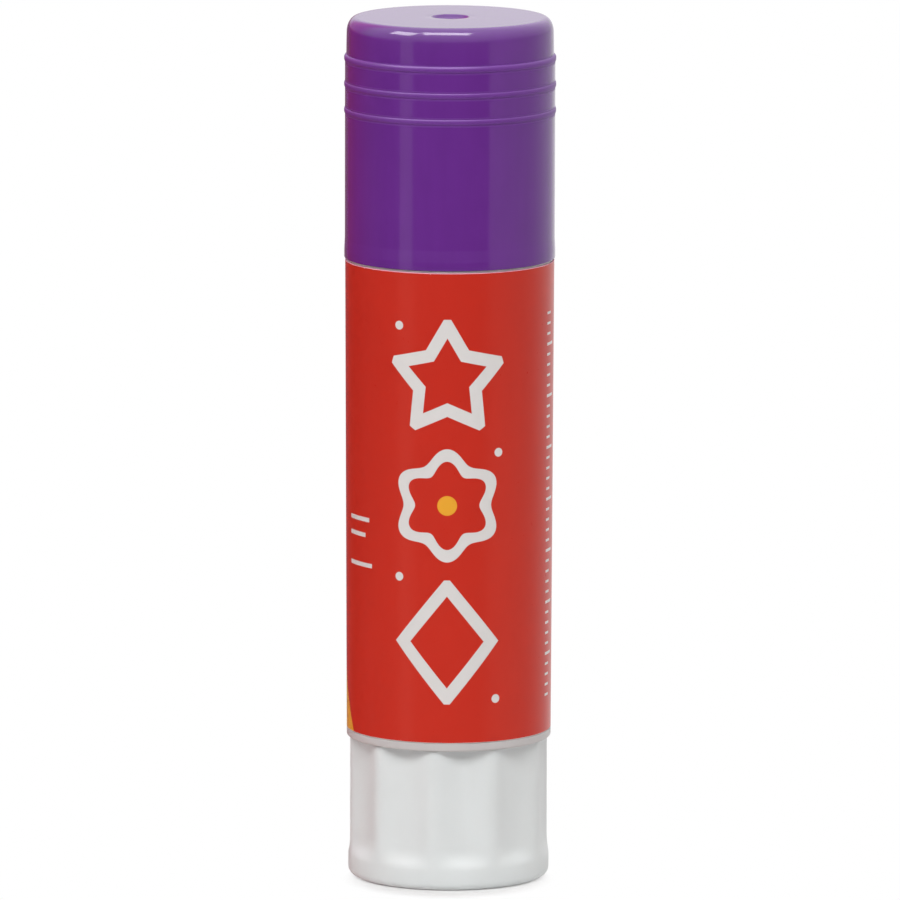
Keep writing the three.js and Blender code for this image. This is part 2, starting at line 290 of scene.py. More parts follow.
def rounded(*corners, steps=ARC_STEPS):
    """The points of an outline whose corners are (radius, height) or (radius, height, rounding)."""
    points = []
    for index, (radius, height, *rounding) in enumerate(corners):
        corner = Vector((radius, height))
        arrive = corner - Vector(corners[index - 1][:2])
        leave = Vector(corners[(index + 1) % len(corners)][:2]) - corner
        if not rounding:
            points.append((radius, height))
            continue
        arrive.normalize()
        leave.normalize()
        turn = math.atan2(arrive.cross(leave), arrive.dot(leave))
        start = corner - arrive * rounding[0] * math.tan(abs(turn) / 2)
        side = math.copysign(rounding[0], turn)
        centre = start + Vector((-arrive.y, arrive.x)) * side
        for step in range(steps + 1):
            swung = Matrix.Rotation(turn * step / steps, 2) @ (start - centre)
            points.append(tuple(centre + swung))
    return points


def bulge(radius, height, proud, tall):
    """A softly rounded rib or bead on a wall, from its foot to its top."""
    angles = [math.pi * step / BULGE_STEPS for step in range(BULGE_STEPS + 1)]
    return [(radius + proud * math.sin(a), height - tall / 2 * math.cos(a)) for a in angles]


def quarter(centre_radius, centre_height, run, rise, steps):
    """A rounded edge, from the upright wall below it to the level face above it."""
    angles = [math.pi / 2 * step / steps for step in range(steps + 1)]
    return [(centre_radius + run * math.cos(a), centre_height + rise * math.sin(a)) for a in angles]


def from_nearest(angle, count, phase):
    """How far an angle is from the nearest of some even places round the axis, in radians."""
    pitch = 2 * math.pi / count
    return abs((angle - math.radians(phase) + pitch / 2) % pitch - pitch / 2)


def eased(value, start, end):
    """0 at start and 1 at end, smooth between them."""
    share = min(max((value - start) / (end - start), 0), 1)
    return share * share * (3 - 2 * share)


def square(side, angle):
    """How far the side of a square bar is from its axis at an angle."""
    return side / 2 / max(abs(math.sin(angle)), abs(math.cos(angle)))


# Meshes

def turned(outline_at, segments=SEGMENTS):
    """Carries an outline once round the axis. outline_at gives its points for each angle."""
    mesh = bmesh.new()
    columns = []
    for segment in range(segments):
        angle = 2 * math.pi * segment / segments
        column = []
        for row, (radius, height) in enumerate(outline_at(angle)):
            if radius < ON_AXIS and columns:
                column.append(columns[0][row])
                continue
            place = Vector((radius * math.sin(angle), -radius * math.cos(angle), height))
            column.append(mesh.verts.new(place * MM))
        columns.append(column)
    for here, following in zip(columns, columns[1:] + columns[:1]):
        for row in range(len(here)):
            above = (row + 1) % len(here)
            corners = dict.fromkeys((here[row], following[row], following[above], here[above]))
            if len(corners) > 2:
                mesh.faces.new(corners)
    return mesh


def add_thread(mesh, root, crest, root_width, crest_width, bottom, top):
    """A screw tooth that climbs along a wall and fades out at both ends."""
    step_count = round((top - bottom) / thread_lead * THREAD_SEGMENTS)
    rings = []
    for step in range(step_count + 1):
        angle = 2 * math.pi * step / THREAD_SEGMENTS
        rise = bottom + thread_lead * step / THREAD_SEGMENTS
        turns_from_end = min(step, step_count - step) / THREAD_SEGMENTS
        tip = root + (crest - root) * eased(turns_from_end, 0, thread_run_in_turns)
        section = [
            (root, -root_width / 2),
            (tip, -crest_width / 2),
            (tip, crest_width / 2),
            (root, root_width / 2),
        ]
        rings.append([
            mesh.verts.new(Vector((r * math.sin(angle), -r * math.cos(angle), rise + h)) * MM)
            for r, h in section
        ])
    faces = []
    for here, following in zip(rings, rings[1:]):
        for corner in range(len(here)):
            after = (corner + 1) % len(here)
            corners = (here[corner], following[corner], following[after], here[after])
            faces.append(mesh.faces.new(corners))
    faces.append(mesh.faces.new(rings[0]))
    faces.append(mesh.faces.new(reversed(rings[-1])))
    points_inward = crest < root
    if points_inward:
        bmesh.ops.reverse_faces(mesh, faces=faces)


def add_web(mesh, angle, thickness, inner, outer, bottom, top):
    """An upright rib between two round walls, with its ends inside them."""
    size = Matrix.Diagonal((thickness * MM, (outer - inner) * MM, (top - bottom) * MM, 1))
    middle = Matrix.Translation(Vector((0, -(inner + outer) / 2, (bottom + top) / 2)) * MM)
    bmesh.ops.create_cube(mesh, size=1, matrix=Matrix.Rotation(angle, 4, "Z") @ middle @ size)


def piece(name, mesh, node, material):
    """Turns a finished mesh into the piece that stands for a node of the model."""
    data = bpy.data.meshes.new(name)
    mesh.to_mesh(data)
    mesh.free()
    data.shade_smooth()
    data.set_sharp_from_angle(angle=SHARP)
    data.materials.append(material)
    made = bpy.data.objects.new(name, data)
    bpy.context.scene.collection.objects.link(made)
    made.modifiers.new("Even normals", "WEIGHTED_NORMAL").keep_sharp = True
    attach(made, frame["nodes"][node]["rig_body"])
    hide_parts(node)
    return made


# Shader maths

class Socket:
    """An output of a node. Operators on it add Math nodes, and node() adds any other node."""

    def __init__(self, tree, output=None):
        self.tree = tree
        self.output = output

    def node(self, kind, settings=None, inputs=None, output=0):
        made = self.tree.nodes.new("ShaderNode" + kind)
        for name, value in (settings or {}).items():
            setattr(made, name, value)
        for name, value in (inputs or {}).items():
            if isinstance(value, Socket):
                self.tree.links.new(value.output, made.inputs[name])
            else:
                made.inputs[name].default_value = value
        return Socket(self.tree, made.outputs[output])

    def math(self, operation, *others):
        return self.node("Math", {"operation": operation}, dict(enumerate((self, *others))))

    def flipped(self, operation, other):
        return self.node("Math", {"operation": operation}, {0: other, 1: self})

    def __add__(self, other):
        return self.math("ADD", other)

    def __radd__(self, other):
        return self.flipped("ADD", other)

    def __sub__(self, other):
        return self.math("SUBTRACT", other)

    def __rsub__(self, other):
        return self.flipped("SUBTRACT", other)

    def __mul__(self, other):
        return self.math("MULTIPLY", other)

    def __rmul__(self, other):
        return self.flipped("MULTIPLY", other)

    def __truediv__(self, other):
        return self.math("DIVIDE", other)

    def __pow__(self, other):
        return self.math("POWER", other)

    def __abs__(self):
        return self.math("ABSOLUTE")

    def __lt__(self, other):
        return self.math("LESS_THAN", other)

    def __gt__(self, other):
        return self.math("GREATER_THAN", other)


def largest(*values):
    """The highest of some values at each place."""
    return functools.reduce(lambda a, b: a.math("MAXIMUM", b), values)


def distance(across, up):
    return (across * across + up * up) ** 0.5


def fade(value, start, end):
    """0 at start and 1 at end, smooth between them."""
    inputs = {"Value": value, "From Min": start, "From Max": end}
    return value.node("MapRange", {"interpolation_type": "SMOOTHSTEP"}, inputs)


def blend(share, first, second):
    """A colour that goes from the first to the second as share goes from 0 to 1."""
    inputs = {"Factor": share, FIRST_COLOUR: first, SECOND_COLOUR: second}
    return share.node("Mix", {"data_type": "RGBA"}, inputs, output=MIXED_COLOUR)


def blend_value(share, first, second):
    """A number that goes from the first to the second as share goes from 0 to 1."""
    inputs = {"Factor": share, FIRST_NUMBER: first, SECOND_NUMBER: second}
    return share.node("Mix", {"data_type": "FLOAT"}, inputs)


def split(place):
    """The three parts of a place: across to the right, along to the back, and up."""
    made = place.node("SeparateXYZ", inputs={0: place})
    return [Socket(place.tree, output) for output in made.output.node.outputs]


def stretched(place, across, up):
    """A place with its width and height scaled, so that small factors draw a texture out."""
    return place.node("VectorMath", {"operation": "MULTIPLY"}, {0: place, 1: (across, across, up)})


def mottle(place, size, detail=2.0):
    """Soft noise with lumps about as wide as size."""
    return place.node("TexNoise", inputs={
        "Vector": place, "Scale": 1 / size, "Detail": detail, "Roughness": 0.5,
    })


def relief(height, depth):
    """A bumped normal, as deep as depth where the height is 1."""
    return height.node("Bump", inputs={"Height": height, "Strength": 1.0, "Distance": depth * MM})


def new_material(name):
    """A new material, the place on the object in millimetres and the material's shader."""
    material = bpy.data.materials.new(name)
    material.use_nodes = True
    tree = material.node_tree
    shader = tree.nodes["Principled BSDF"]
    place = Socket(tree).node("TexCoord", output="Object")
    scaled = place.node("VectorMath", {"operation": "SCALE"}, {0: place, "Scale": 1 / MM})
    return material, scaled, shader


def dress(shader, **inputs):
    """Fills the shader's sockets. A name's underscores stand for spaces."""
    for name, value in inputs.items():
        socket = shader.inputs[name.replace("_", " ")]
        if isinstance(value, Socket):
            value.tree.links.new(value.output, socket)
        else:
            socket.default_value = value


def opaque(red, green, blue):
    return (red, green, blue, 1.0)


# Cap

def cap_plastic():
    """Glossy purple plastic with a faint swirl, duller in the narrow strips along the ribs."""
    material, place, shader = new_material("purple_moulded_plastic")
    up = split(place)[2]
    swirl = mottle(place, 7.0)
    flow = mottle(stretched(place, 1.0, 0.12), 0.9, detail=3.0)
    tone = 0.65 * swirl + 0.35 * flow
    scuffs = fade(mottle(stretched(place, 0.5, 1.5), 0.5, detail=4.0), 0.62, 0.78)
    peel = mottle(place, 1.4)
    from_rib = (up - top_rib).math("PINGPONG", rib_pitch / 2)
    above_lowest = fade(up, lowest_rib - 1.0, lowest_rib - 0.6)
    below_top = 1 - fade(up, top_rib + 0.6, top_rib + 1.0)
    worn = above_lowest * below_top * (1 - fade(from_rib, 0.3, 0.6))
    dress(
        shader,
        Base_Color=blend(tone, opaque(0.114, 0.018, 0.224), opaque(0.152, 0.027, 0.286)),
        Roughness=0.09 + 0.04 * swirl + 0.04 * scuffs + 0.3 * worn,
        Normal=relief(peel + 0.04 * scuffs, 0.004),
        IOR=1.49,
    )
    return material


def make_cap():
    ribs = [bulge(grip_radius, top_rib - i * rib_pitch, rib_proud, rib_height) for i in range(rib_count)]
    grip = [point for rib in reversed(ribs) for point in rib]
    half_rib = BULGE_STEPS // 2
    crest = grip_radius + rib_proud - band_radius
    band_foot = top_rib + rib_shoulder + band_land
    band_top = crown_top - crown_rise
    band = [
        (band_radius - band_lean * share * share, band_foot + (band_top - band_foot) * share)
        for share in (0, 0.2, 0.4, 0.6, 0.8)
    ]
    bead_top = cap_mouth + mouth_bead_height
    outline = [
        (0, cap_ceiling),
        *rounded(
            (0, cap_ceiling),
            (cap_inner, cap_ceiling, 0.6),
            (cap_inner, cap_snap + snap_height),
        )[1:],
        *reversed(bulge(cap_inner, cap_snap, -snap_proud, snap_height)),
        *rounded(
            (cap_inner, cap_snap - snap_height),
            (cap_inner, cap_mouth, 0.15),
            (mouth_bead, cap_mouth, 0.07),
            (mouth_bead, bead_top - bead_slope_below, 1.0),
            (grip_radius, bead_top + bead_slope_above, 1.0),
            (grip_radius, top_rib - rib_count * rib_pitch),
        ),
        # The upper half of the top rib is a longer slope up to the band.
        *grip[:-half_rib],
        *quarter(band_radius, top_rib, crest, rib_shoulder, SHOULDER_STEPS)[1:],
        *band,
        *quarter(band_radius - band_lean - crown_run, band_top, crown_run, crown_rise, CROWN_STEPS),
        *rounded(
            (dimple_radius + 1, crown_top),
            (dimple_radius, crown_top, 0.2),
            (0.86 * dimple_radius, crown_top - 0.7 * dimple_depth, 0.5),
            (nib_radius + 0.1, crown_top - dimple_depth, 0.1),
            (nib_radius, crown_top - dimple_depth + nib_height, 0.05),
            (0, crown_top - dimple_depth + nib_height),
        ),
    ]
    return piece("cap_shell", turned(lambda angle: outline), "cap", cap_plastic())


# Seal in the cap

def seal_plastic():
    """Soft cloudy plastic with turning marks."""
    material, place, shader = new_material("soft_seal_plastic")
    across, along = split(place)[:2]
    rings = fade((distance(across, along) * 2.6).math("SINE"), 0.6, 1.0)
    haze = mottle(place, 3.0, detail=3.0)
    dress(
        shader,
        Base_Color=blend(haze, opaque(0.74, 0.74, 0.71), opaque(0.82, 0.82, 0.80)),
        Roughness=0.42 + 0.12 * haze,
        Normal=relief(0.7 * rings + 0.3 * mottle(place, 0.5), 0.02),
        Subsurface_Weight=0.2,
        Subsurface_Radius=(1.0, 0.95, 0.85),
        Subsurface_Scale=0.0015,
    )
    return material


def make_seal():
    under = mouth_top + seal_gap
    skirt = low("cap_seal")
    over = high("cap_seal")
    edge = reach("cap_seal")
    outline = rounded(
        (0, under),
        (skirt_inner, under, 0.2),
        (skirt_inner, skirt, 0.15),
        (skirt_outer, skirt, 0.2),
        (skirt_outer, under, 0.1),
        (edge, under, 0.1),
        (edge, over - seal_chamfer, 0.1),
        (edge - seal_chamfer, over, 0.1),
        (0, over),
    )
    return piece("cap_liner", turned(lambda angle: outline), "cap_seal", seal_plastic())


# Barrel

def white_plastic(name, dark, pale, roughness, streak_size, shine=0.5):
    """Satin white moulded plastic with faint flow marks and light handling wear."""
    material, place, shader = new_material(name)
    cloud = mottle(place, 5.0)
    flow = mottle(stretched(place, 1.0, 0.1), streak_size, detail=3.0)
    rub = fade(mottle(stretched(place, 0.6, 1.8), 0.7, detail=4.0), 0.6, 0.75)
    dress(
        shader,
        Base_Color=blend(0.6 * cloud + 0.4 * flow, opaque(*dark), opaque(*pale)),
        Roughness=roughness + 0.08 * cloud + 0.08 * rub,
        Normal=relief(mottle(place, 1.1) + 0.3 * flow, 0.005),
        IOR=1.49,
        Specular_IOR_Level=shine,
        Subsurface_Weight=0.12,
        Subsurface_Radius=(1.0, 0.95, 0.9),
        Subsurface_Scale=0.0012,
    )
    return material


def barrel_outline(angle):
    """The barrel's section at an angle. Its bore is narrower at the four guide ribs."""
    off_guide = from_nearest(angle, guide_count, guide_phase) * bore_radius
    on_guide = 1 - eased(off_guide, guide_width / 2 - guide_edge_in, guide_width / 2 + guide_edge_out)
    guide = bore_radius - guide_depth * on_guide
    return [
        *rounded(
            (skin_inner, rim_bottom, 0.1),
            (rim_radius, rim_bottom, 0.2),
            (rim_radius, recess_bottom, 0.04),
            (seat_foot, recess_bottom),
            (seat_top, recess_top),
            (lip_radius, recess_top, 0.02),
            (lip_radius, shoulder_top, 0.05),
            (neck_radius, shoulder_top, 0.15),
            (neck_radius, neck_snap - snap_height),
            (skin_inner, neck_snap - snap_height),
        )[:-1],
        *bulge(neck_radius, neck_snap, snap_proud, snap_height),
        *rounded(
            (neck_radius, neck_snap + snap_height),
            (neck_radius, mouth_top, 0.28),
            (bore_radius, mouth_top, 0.28),
            (bore_radius, guide_top),
            (guide, guide_top - guide_lead_in),
            (guide, barrel_floor, 0.15),
            (floor_hole, barrel_floor, 0.1),
            (floor_hole, floor_under, 0.1),
            (tube_radius, floor_under, 0.2),
            (tube_radius, shoulder_under, 0.2),
            (skin_inner, shoulder_under, 0.2),
            (skin_inner, rim_bottom + 1),
        ),
    ]


def make_barrel():
    dark = (0.55, 0.525, 0.52)
    pale = (0.61, 0.585, 0.58)
    white = white_plastic("barrel_white", dark, pale, roughness=0.34, streak_size=0.8)
    return piece("barrel_shell", turned(barrel_outline), "barrel", white)


# Printed wrap
# A printed shape gets the distances right of and above its own middle, and gives 1 where it has ink.

def line(gap, width=stroke):
    """Ink along a line, where gap is the distance from its middle."""
    return 1 - fade(abs(gap), width / 2 - ink_edge, width / 2 + ink_edge)


def filled(gap):
    """Ink inside a shape, where gap is the distance out from its edge."""
    return 1 - fade(gap, -ink_edge, ink_edge)


def within(value, middle, half):
    """Ink where a value is no further than half from a middle."""
    return filled(abs(value - middle) - half)


def repeated(value, pitch):
    """How far a value is past or short of the nearest of some even steps."""
    return value.math("WRAP", pitch / 2, -pitch / 2)


def from_point(right, up, points):
    """Distance from the middle of a motif, and the angle from the nearest of its points."""
    return distance(right, up), abs(repeated(right.math("ARCTAN2", up), 2 * math.pi / points))


def star(right, up, size, points=5):
    away, heading = from_point(right, up, points)
    waist = 0.55 * size
    tip = Vector((size, 0))
    notch = Vector((waist * math.cos(math.pi / points), waist * math.sin(math.pi / points)))
    side = notch - tip
    outward = Vector((side.y, -side.x)).normalized()
    along_point = away * heading.math("COSINE")
    beside_point = away * heading.math("SINE")
    gap = (along_point - size) * outward.x + beside_point * outward.y
    return line(gap) * filled(away - size - stroke / 2)


def flower(right, up, size, petals=6):
    away, heading = from_point(right, up, petals)
    return line(away - size * (1 + 0.13 * (heading * petals).math("COSINE")))


def diamond(right, up, half_width, half_height):
    steepness = math.hypot(1 / half_width, 1 / half_height)
    gap = (abs(right) / half_width + abs(up) / half_height - 1) / steepness
    return line(gap) * filled(abs(up) - half_height - stroke / 2)


def dot(right, up, size):
    return filled(distance(right, up) - size)


def bar(right, up, length, thickness):
    return filled(abs(right) - length / 2) * filled(abs(up) - thickness / 2)


def tick_strip(right, up):
    """A short tick for each millimetre and a long one for each fifth, down the right side."""
    rise = up - first_tick
    short = within(right, 12.6, half=0.5) * line(repeated(rise, 1.0), width=0.24)
    long = within(right, 13.0, half=0.9) * line(repeated(rise, 5.0), width=0.28)
    return largest(short, long) * within(up, 36.5, half=19.3)


def white_print(right, up):
    """Three outlined shapes with dots down the front, ticks at the right and bars at the left."""
    dots = ((-5.0, 54.6), (4.9, 42.4), (-5.0, 30.4), (4.7, 18.6))
    bars = ((-10.6, 35.4, 3.6), (-10.9, 33.9, 3.0), (-10.4, 31.0, 4.0))
    return largest(
        star(right - motif_middle, up - 49.5, size=5.2),
        flower(right - motif_middle, up - flower_height, size=4.3),
        diamond(right - motif_middle, up - 24.2, half_width=4.4, half_height=5.4),
        *[dot(right - x, up - z, size=0.42) for x, z in dots],
        tick_strip(right, up),
        *[bar(right - x, up - z, length, thickness=0.42) for x, z, length in bars],
    )


def yellow_print(right, up):
    """A slanted corner low on the left, and the middle of the flower."""
    corner_left = -28.0
    slope = 1.8
    slope_length = 2.1
    above_slope = up - 15.3 + (right + 12.36) * slope
    corner = filled(above_slope / slope_length) * filled(corner_left - right)
    return largest(corner, dot(right - motif_middle, up - flower_height, size=0.95))


def back_panel(angle, up):
    """A blank panel on the back, and the ruled lines on it."""
    from_back = abs(repeated(angle - math.pi, 2 * math.pi)) * reach("label")
    panel = filled(from_back - 7.0) * within(up, panel_height, half=13.0)
    rules = panel * filled(from_back - 5.6) * line(repeated(up - panel_height, 4.4), width=0.22)
    return panel, rules


def printed_film():
    """Glossy film printed in red, with worn nicks in its top edge and a pale cut at both edges, a
    painted pink glow on the top edge and painted shade on the red towards the top.
    """
    material, place, shader = new_material("printed_film")
    across, along, up = split(place)
    angle = across.math("ARCTAN2", 0 - along)
    right = angle * reach("label")
    white = white_print(right, up)
    panel, rules = back_panel(angle, up)

    nicks = fade(mottle(stretched(place, 1.0, 0.6), 0.22, detail=3.0), 0.66, 0.72)
    nicked_edge = nicks * (up > high("label") - nick_reach)
    top_cut = up > high("label") - top_cut_reach
    cut = largest(top_cut, up < low("label") + foot_cut_reach)

    ink = mottle(place, 6.0)
    grain = mottle(place, 0.12, detail=1.0)
    # The red is painted darker towards the top and paler towards the foot. This is painted shade, added
    # on top of the ink's own uneven tone.
    painted_light_lower_down = fade(0 - up, -58.0, -16.0)
    ink_tone_and_painted_light = 0.4 * ink + 0.2 * grain + 0.4 * painted_light_lower_down
    colour = blend(ink_tone_and_painted_light, opaque(0.540, 0.016, 0.007), opaque(0.612, 0.023, 0.010))
    colour = blend(yellow_print(right, up), colour, opaque(0.86, 0.40, 0.030))
    colour = blend(largest(white, panel), colour, opaque(0.73, 0.71, 0.70))
    colour = blend(rules, colour, opaque(0.30, 0.29, 0.29))
    colour = blend(largest(nicked_edge, cut), colour, opaque(0.80, 0.74, 0.73))
    # Where it has no nicks, the top cut edge is painted bright pink. This is a painted glow of the
    # purple and red light bounced onto it from the cap and the print.
    colour = blend(top_cut * (1 - nicks), colour, opaque(0.93, 0.44, 0.58))
    ripples = mottle(stretched(place, 1.0, 0.35), 2.6)
    dress(
        shader,
        Base_Color=colour,
        Roughness=0.24 + 0.05 * grain + 0.06 * mottle(place, 0.8, detail=4.0) + 0.25 * cut,
        Normal=relief(ripples + 0.1 * white + 0.08 * grain, 0.006),
        Specular_IOR_Level=0.42,
        Specular_Tint=opaque(1.0, 0.93, 0.76),
        IOR=1.5,
    )
    return material


def strayed(angle, seed):
    """How far a cut edge strays up or down at an angle."""
    return noise.noise(Vector((math.sin(angle), math.cos(angle), seed)) * cut_waves) * cut_wobble


def wrap_outline(angle):
    """The wrap's section at an angle, thicker where its ends overlap at the back."""
    degrees = math.degrees(angle)
    begun = eased(degrees, overlap_start, overlap_start + overlap_begins_over)
    ended = eased(degrees, overlap_end, overlap_end + overlap_ends_over)
    outer = wrap_thickness + wrap_overlap * (begun * (1 - ended))
    inner_foot = seat_foot + wrap_gap
    inner_top = seat_top + wrap_gap
    top_edge = high("label") - cut_wobble + strayed(angle, seed=0)
    foot_edge = low("label") + cut_wobble + strayed(angle, seed=7)
    return [
        (inner_foot, foot_edge),
        (inner_foot + outer, foot_edge),
        (inner_top + outer, top_edge),
        (inner_top, top_edge),
    ]


def make_wrap():
    return piece("printed_wrap", turned(wrap_outline, FINE_SEGMENTS), "label", printed_film())


# Knob

def grip_wall(angle):
    """The scalloped outside of the knob: shallow round flutes with a narrow land between them."""
    half = (2 * math.pi / flute_count - ridge_land / ridge_radius) / 2
    chord = ridge_radius * math.sin(half)
    depth = ridge_radius * math.cos(half) - flute_floor
    scoop = (chord * chord + depth * depth) / (2 * depth)
    centre = flute_floor + scoop
    off = from_nearest(angle, flute_count, front_flute)
    flute = centre * math.cos(off) - math.sqrt(scoop ** 2 - (centre * math.sin(off)) ** 2)
    between = max(ridge_softness - abs(flute - ridge_radius), 0) / ridge_softness
    return min(flute, ridge_radius) - between * between * ridge_softness / 4


def knob_outline(angle):
    """The knob's section at an angle. Its wall flares out to the round foot."""
    wall = grip_wall(angle)
    low_wall = wall + (ridge_radius - wall) * flute_taper
    ledge = foot_radius - low_wall
    socket = square(socket_side, angle)
    shares = [step / FLARE_STEPS for step in range(FLARE_STEPS + 1)]
    flare = [
        (low_wall + ledge * eased(share, 1, 0) ** flare_bend, flare_foot + flare_rise * share)
        for share in shares
    ]
    return rounded(
        (0, recess_depth),
        (recess_radius, recess_depth, 0.2),
        (recess_radius, 0, 0.25),
        (foot_radius, 0, foot_rounding),
        *flare,
        (wall, knob_top, 0.05),
        (collar_radius, knob_top),
        (collar_radius, collar_top, 0.2),
        (cavity_radius, collar_top, 0.2),
        (cavity_radius, knob_floor, 0.4),
        (hub_radius, knob_floor, 0.3),
        (hub_radius, hub_top, 0.2),
        (socket, hub_top, 0.1),
        (socket, socket_floor),
        (0, socket_floor),
    )


def make_knob():
    mesh = turned(knob_outline, FINE_SEGMENTS)
    for web in range(web_count):
        add_web(
            mesh,
            angle=2 * math.pi * web / web_count,
            thickness=web_thickness,
            inner=hub_radius - web_bury,
            outer=cavity_radius + web_bury,
            bottom=knob_floor - web_bury,
            top=knob_top - web_depth,
        )
    dark = (0.72, 0.75, 0.75)
    pale = (0.775, 0.81, 0.81)
    white = white_plastic("knob_white", dark, pale, roughness=0.42, streak_size=1.1, shine=0.3)
    return piece("fluted_knob", mesh, "base_knob", white)


# Screw

def screw_outline(angle):
    """The screw's section at an angle: a square stub, a flange, a snap and the core of the thread."""
    stub = square(stub_side, angle)
    foot = low("screw_spindle")
    return rounded(
        (0, foot),
        (stub, foot, 0.2),
        (stub, flange_bottom),
        (reach("screw_spindle"), flange_bottom, 0.15),
        (reach("screw_spindle"), flange_top, 0.15),
        (journal_radius, flange_top),
        (journal_radius, catch_bottom),
        (catch_radius, catch_bottom, 0.08),
        (thread_crest, catch_top, 0.1),
        (thread_root, catch_top),
        (thread_root, high("screw_spindle"), 0.5),
        (0, high("screw_spindle")),
        steps=SMALL_ARC_STEPS,
    )


def make_screw():
    mesh = turned(screw_outline, SCREW_SEGMENTS)
    add_thread(
        mesh,
        root=thread_root - thread_bury,
        crest=thread_crest,
        root_width=1.55,
        crest_width=0.7,
        bottom=catch_top + 0.95,
        top=high("screw_spindle") - 1.0,
    )
    dark = (0.64, 0.65, 0.64)
    pale = (0.70, 0.71, 0.70)
    white = white_plastic("screw_white", dark, pale, roughness=0.38, streak_size=0.6)
    return piece("screw_rod", mesh, "screw_spindle", white)


# Carrier

def notched(radius, angle):
    """A radius with a groove in it for each guide rib of the barrel."""
    off = from_nearest(angle, guide_count, guide_phase) * notch_radius
    depth = radius - notch_radius
    beside = eased(off, notch_width / 2 - notch_edge_in, notch_width / 2 + notch_edge_out)
    return radius - depth * (1 - beside)


def cup_outline(angle):
    """The cup's section at an angle, with the wall of the nut round its bore."""
    outside = notched(cup_radius, angle)
    floor = low("glue_carrier")
    lip = high("glue_carrier")
    return rounded(
        (nut_bore, floor, 0.15),
        (outside, floor, 0.15),
        (outside, lip, 0.15),
        (cup_inner, lip, 0.15),
        (cup_inner, cup_floor, 0.3),
        (nut_radius, cup_floor, 0.2),
        (nut_radius, nut_top, 0.15),
        (nut_bore, nut_top, 0.15),
        steps=SMALL_ARC_STEPS,
    )


def make_cup():
    mesh = turned(cup_outline)
    add_thread(
        mesh,
        root=nut_bore + thread_bury,
        crest=nut_crest,
        root_width=1.7,
        crest_width=0.85,
        bottom=low("glue_carrier") + 1.6,
        top=nut_top - 0.8,
    )
    dark = (0.68, 0.68, 0.67)
    pale = (0.74, 0.74, 0.73)
    white = white_plastic("cup_white", dark, pale, roughness=0.4, streak_size=0.7)
    return piece("glue_cup", mesh, "glue_carrier", white)


# Glue

def glue_wax():
    """Translucent purple wax with drag marks and small pits."""
    material, place, shader = new_material("purple_glue")
    cloud = mottle(place, 3.5, detail=3.0)
    drag = mottle(stretched(place, 0.25, 3.0), 0.8, detail=3.0)
    pits = fade(mottle(place, 0.45, detail=2.0), 0.66, 0.74)
    dress(
        shader,
        Base_Color=blend(0.7 * cloud + 0.3 * drag, opaque(0.25, 0.115, 0.36), opaque(0.36, 0.20, 0.47)),
        Roughness=0.34 + 0.14 * cloud + 0.10 * drag,
        Normal=relief(0.6 * drag + 0.5 * cloud - 0.8 * pits, 0.03),
        IOR=1.45,
        Subsurface_Weight=0.45,
        Subsurface_Radius=(1.0, 0.7, 1.0),
        Subsurface_Scale=0.0025,
    )
    return material


def glue_outline(angle):
    """The glue's section at an angle. It sits in the cup round the nut, with a hole for the screw."""
    side = notched(reach("glue_core"), angle)
    top = high("glue_core")
    foot = low("glue_core")
    cup_lip = high("glue_carrier") + cup_play
    return rounded(
        (0, glue_hole_top),
        (glue_hole, glue_hole_top, 0.3),
        (glue_hole, nut_top + nut_room),
        (nut_radius + nut_room, nut_top + nut_room),
        (nut_radius + nut_room, foot, 0.1),
        (cup_inner - cup_play, foot, 0.2),
        (cup_inner - cup_play, cup_lip),
        (side, cup_lip, 0.08),
        (side, top - glue_edge_fall, glue_edge),
        (side - dome_run, top - dome_fall, 2.0),
        (sink_rim, top, 0.3),
        (sink_floor, top - sink_depth, 0.2),
        (0, top - sink_middle_depth),
    )


def make_glue():
    return piece("glue_block", turned(glue_outline), "glue_core", glue_wax())


make_cap()
make_seal()
make_barrel()
make_wrap()
make_knob()
make_screw()
make_cup()
make_glue()


# Stage

def floor_paint():
    """Pale floor that keeps the object's contact shadow and goes over into the white background."""
    material, place, shader = new_material("floor_paint")
    tree = material.node_tree
    across, along = split(place)[:2]
    from_shadow = distance(across, along + 3.4)
    whitened = 0.12 + 0.88 * fade(from_shadow, 7.1, 10.4)
    seen = place.node("LightPath", output="Is Camera Ray")
    dress(shader, Base_Color=opaque(0.72, 0.72, 0.72), Roughness=0.8, Specular_IOR_Level=0.1)
    glow = place.node("Emission", inputs={"Color": opaque(1, 1, 1), "Strength": 1.0})
    lit = place.node("MixShader", inputs={0: seen * whitened, 2: glow})
    tree.links.new(shader.outputs[0], lit.output.node.inputs[1])
    tree.links.new(lit.output, tree.nodes["Material Output"].inputs["Surface"])
    return material


def make_floor():
    radius = 400 * MM
    mesh = bmesh.new()
    bmesh.ops.create_circle(mesh, cap_ends=True, segments=FLOOR_SEGMENTS, radius=radius)
    data = bpy.data.meshes.new("floor")
    mesh.to_mesh(data)
    mesh.free()
    data.materials.append(floor_paint())
    floor = bpy.data.objects.new("floor", data)
    bpy.context.scene.collection.objects.link(floor)
    floor.visible_glossy = False


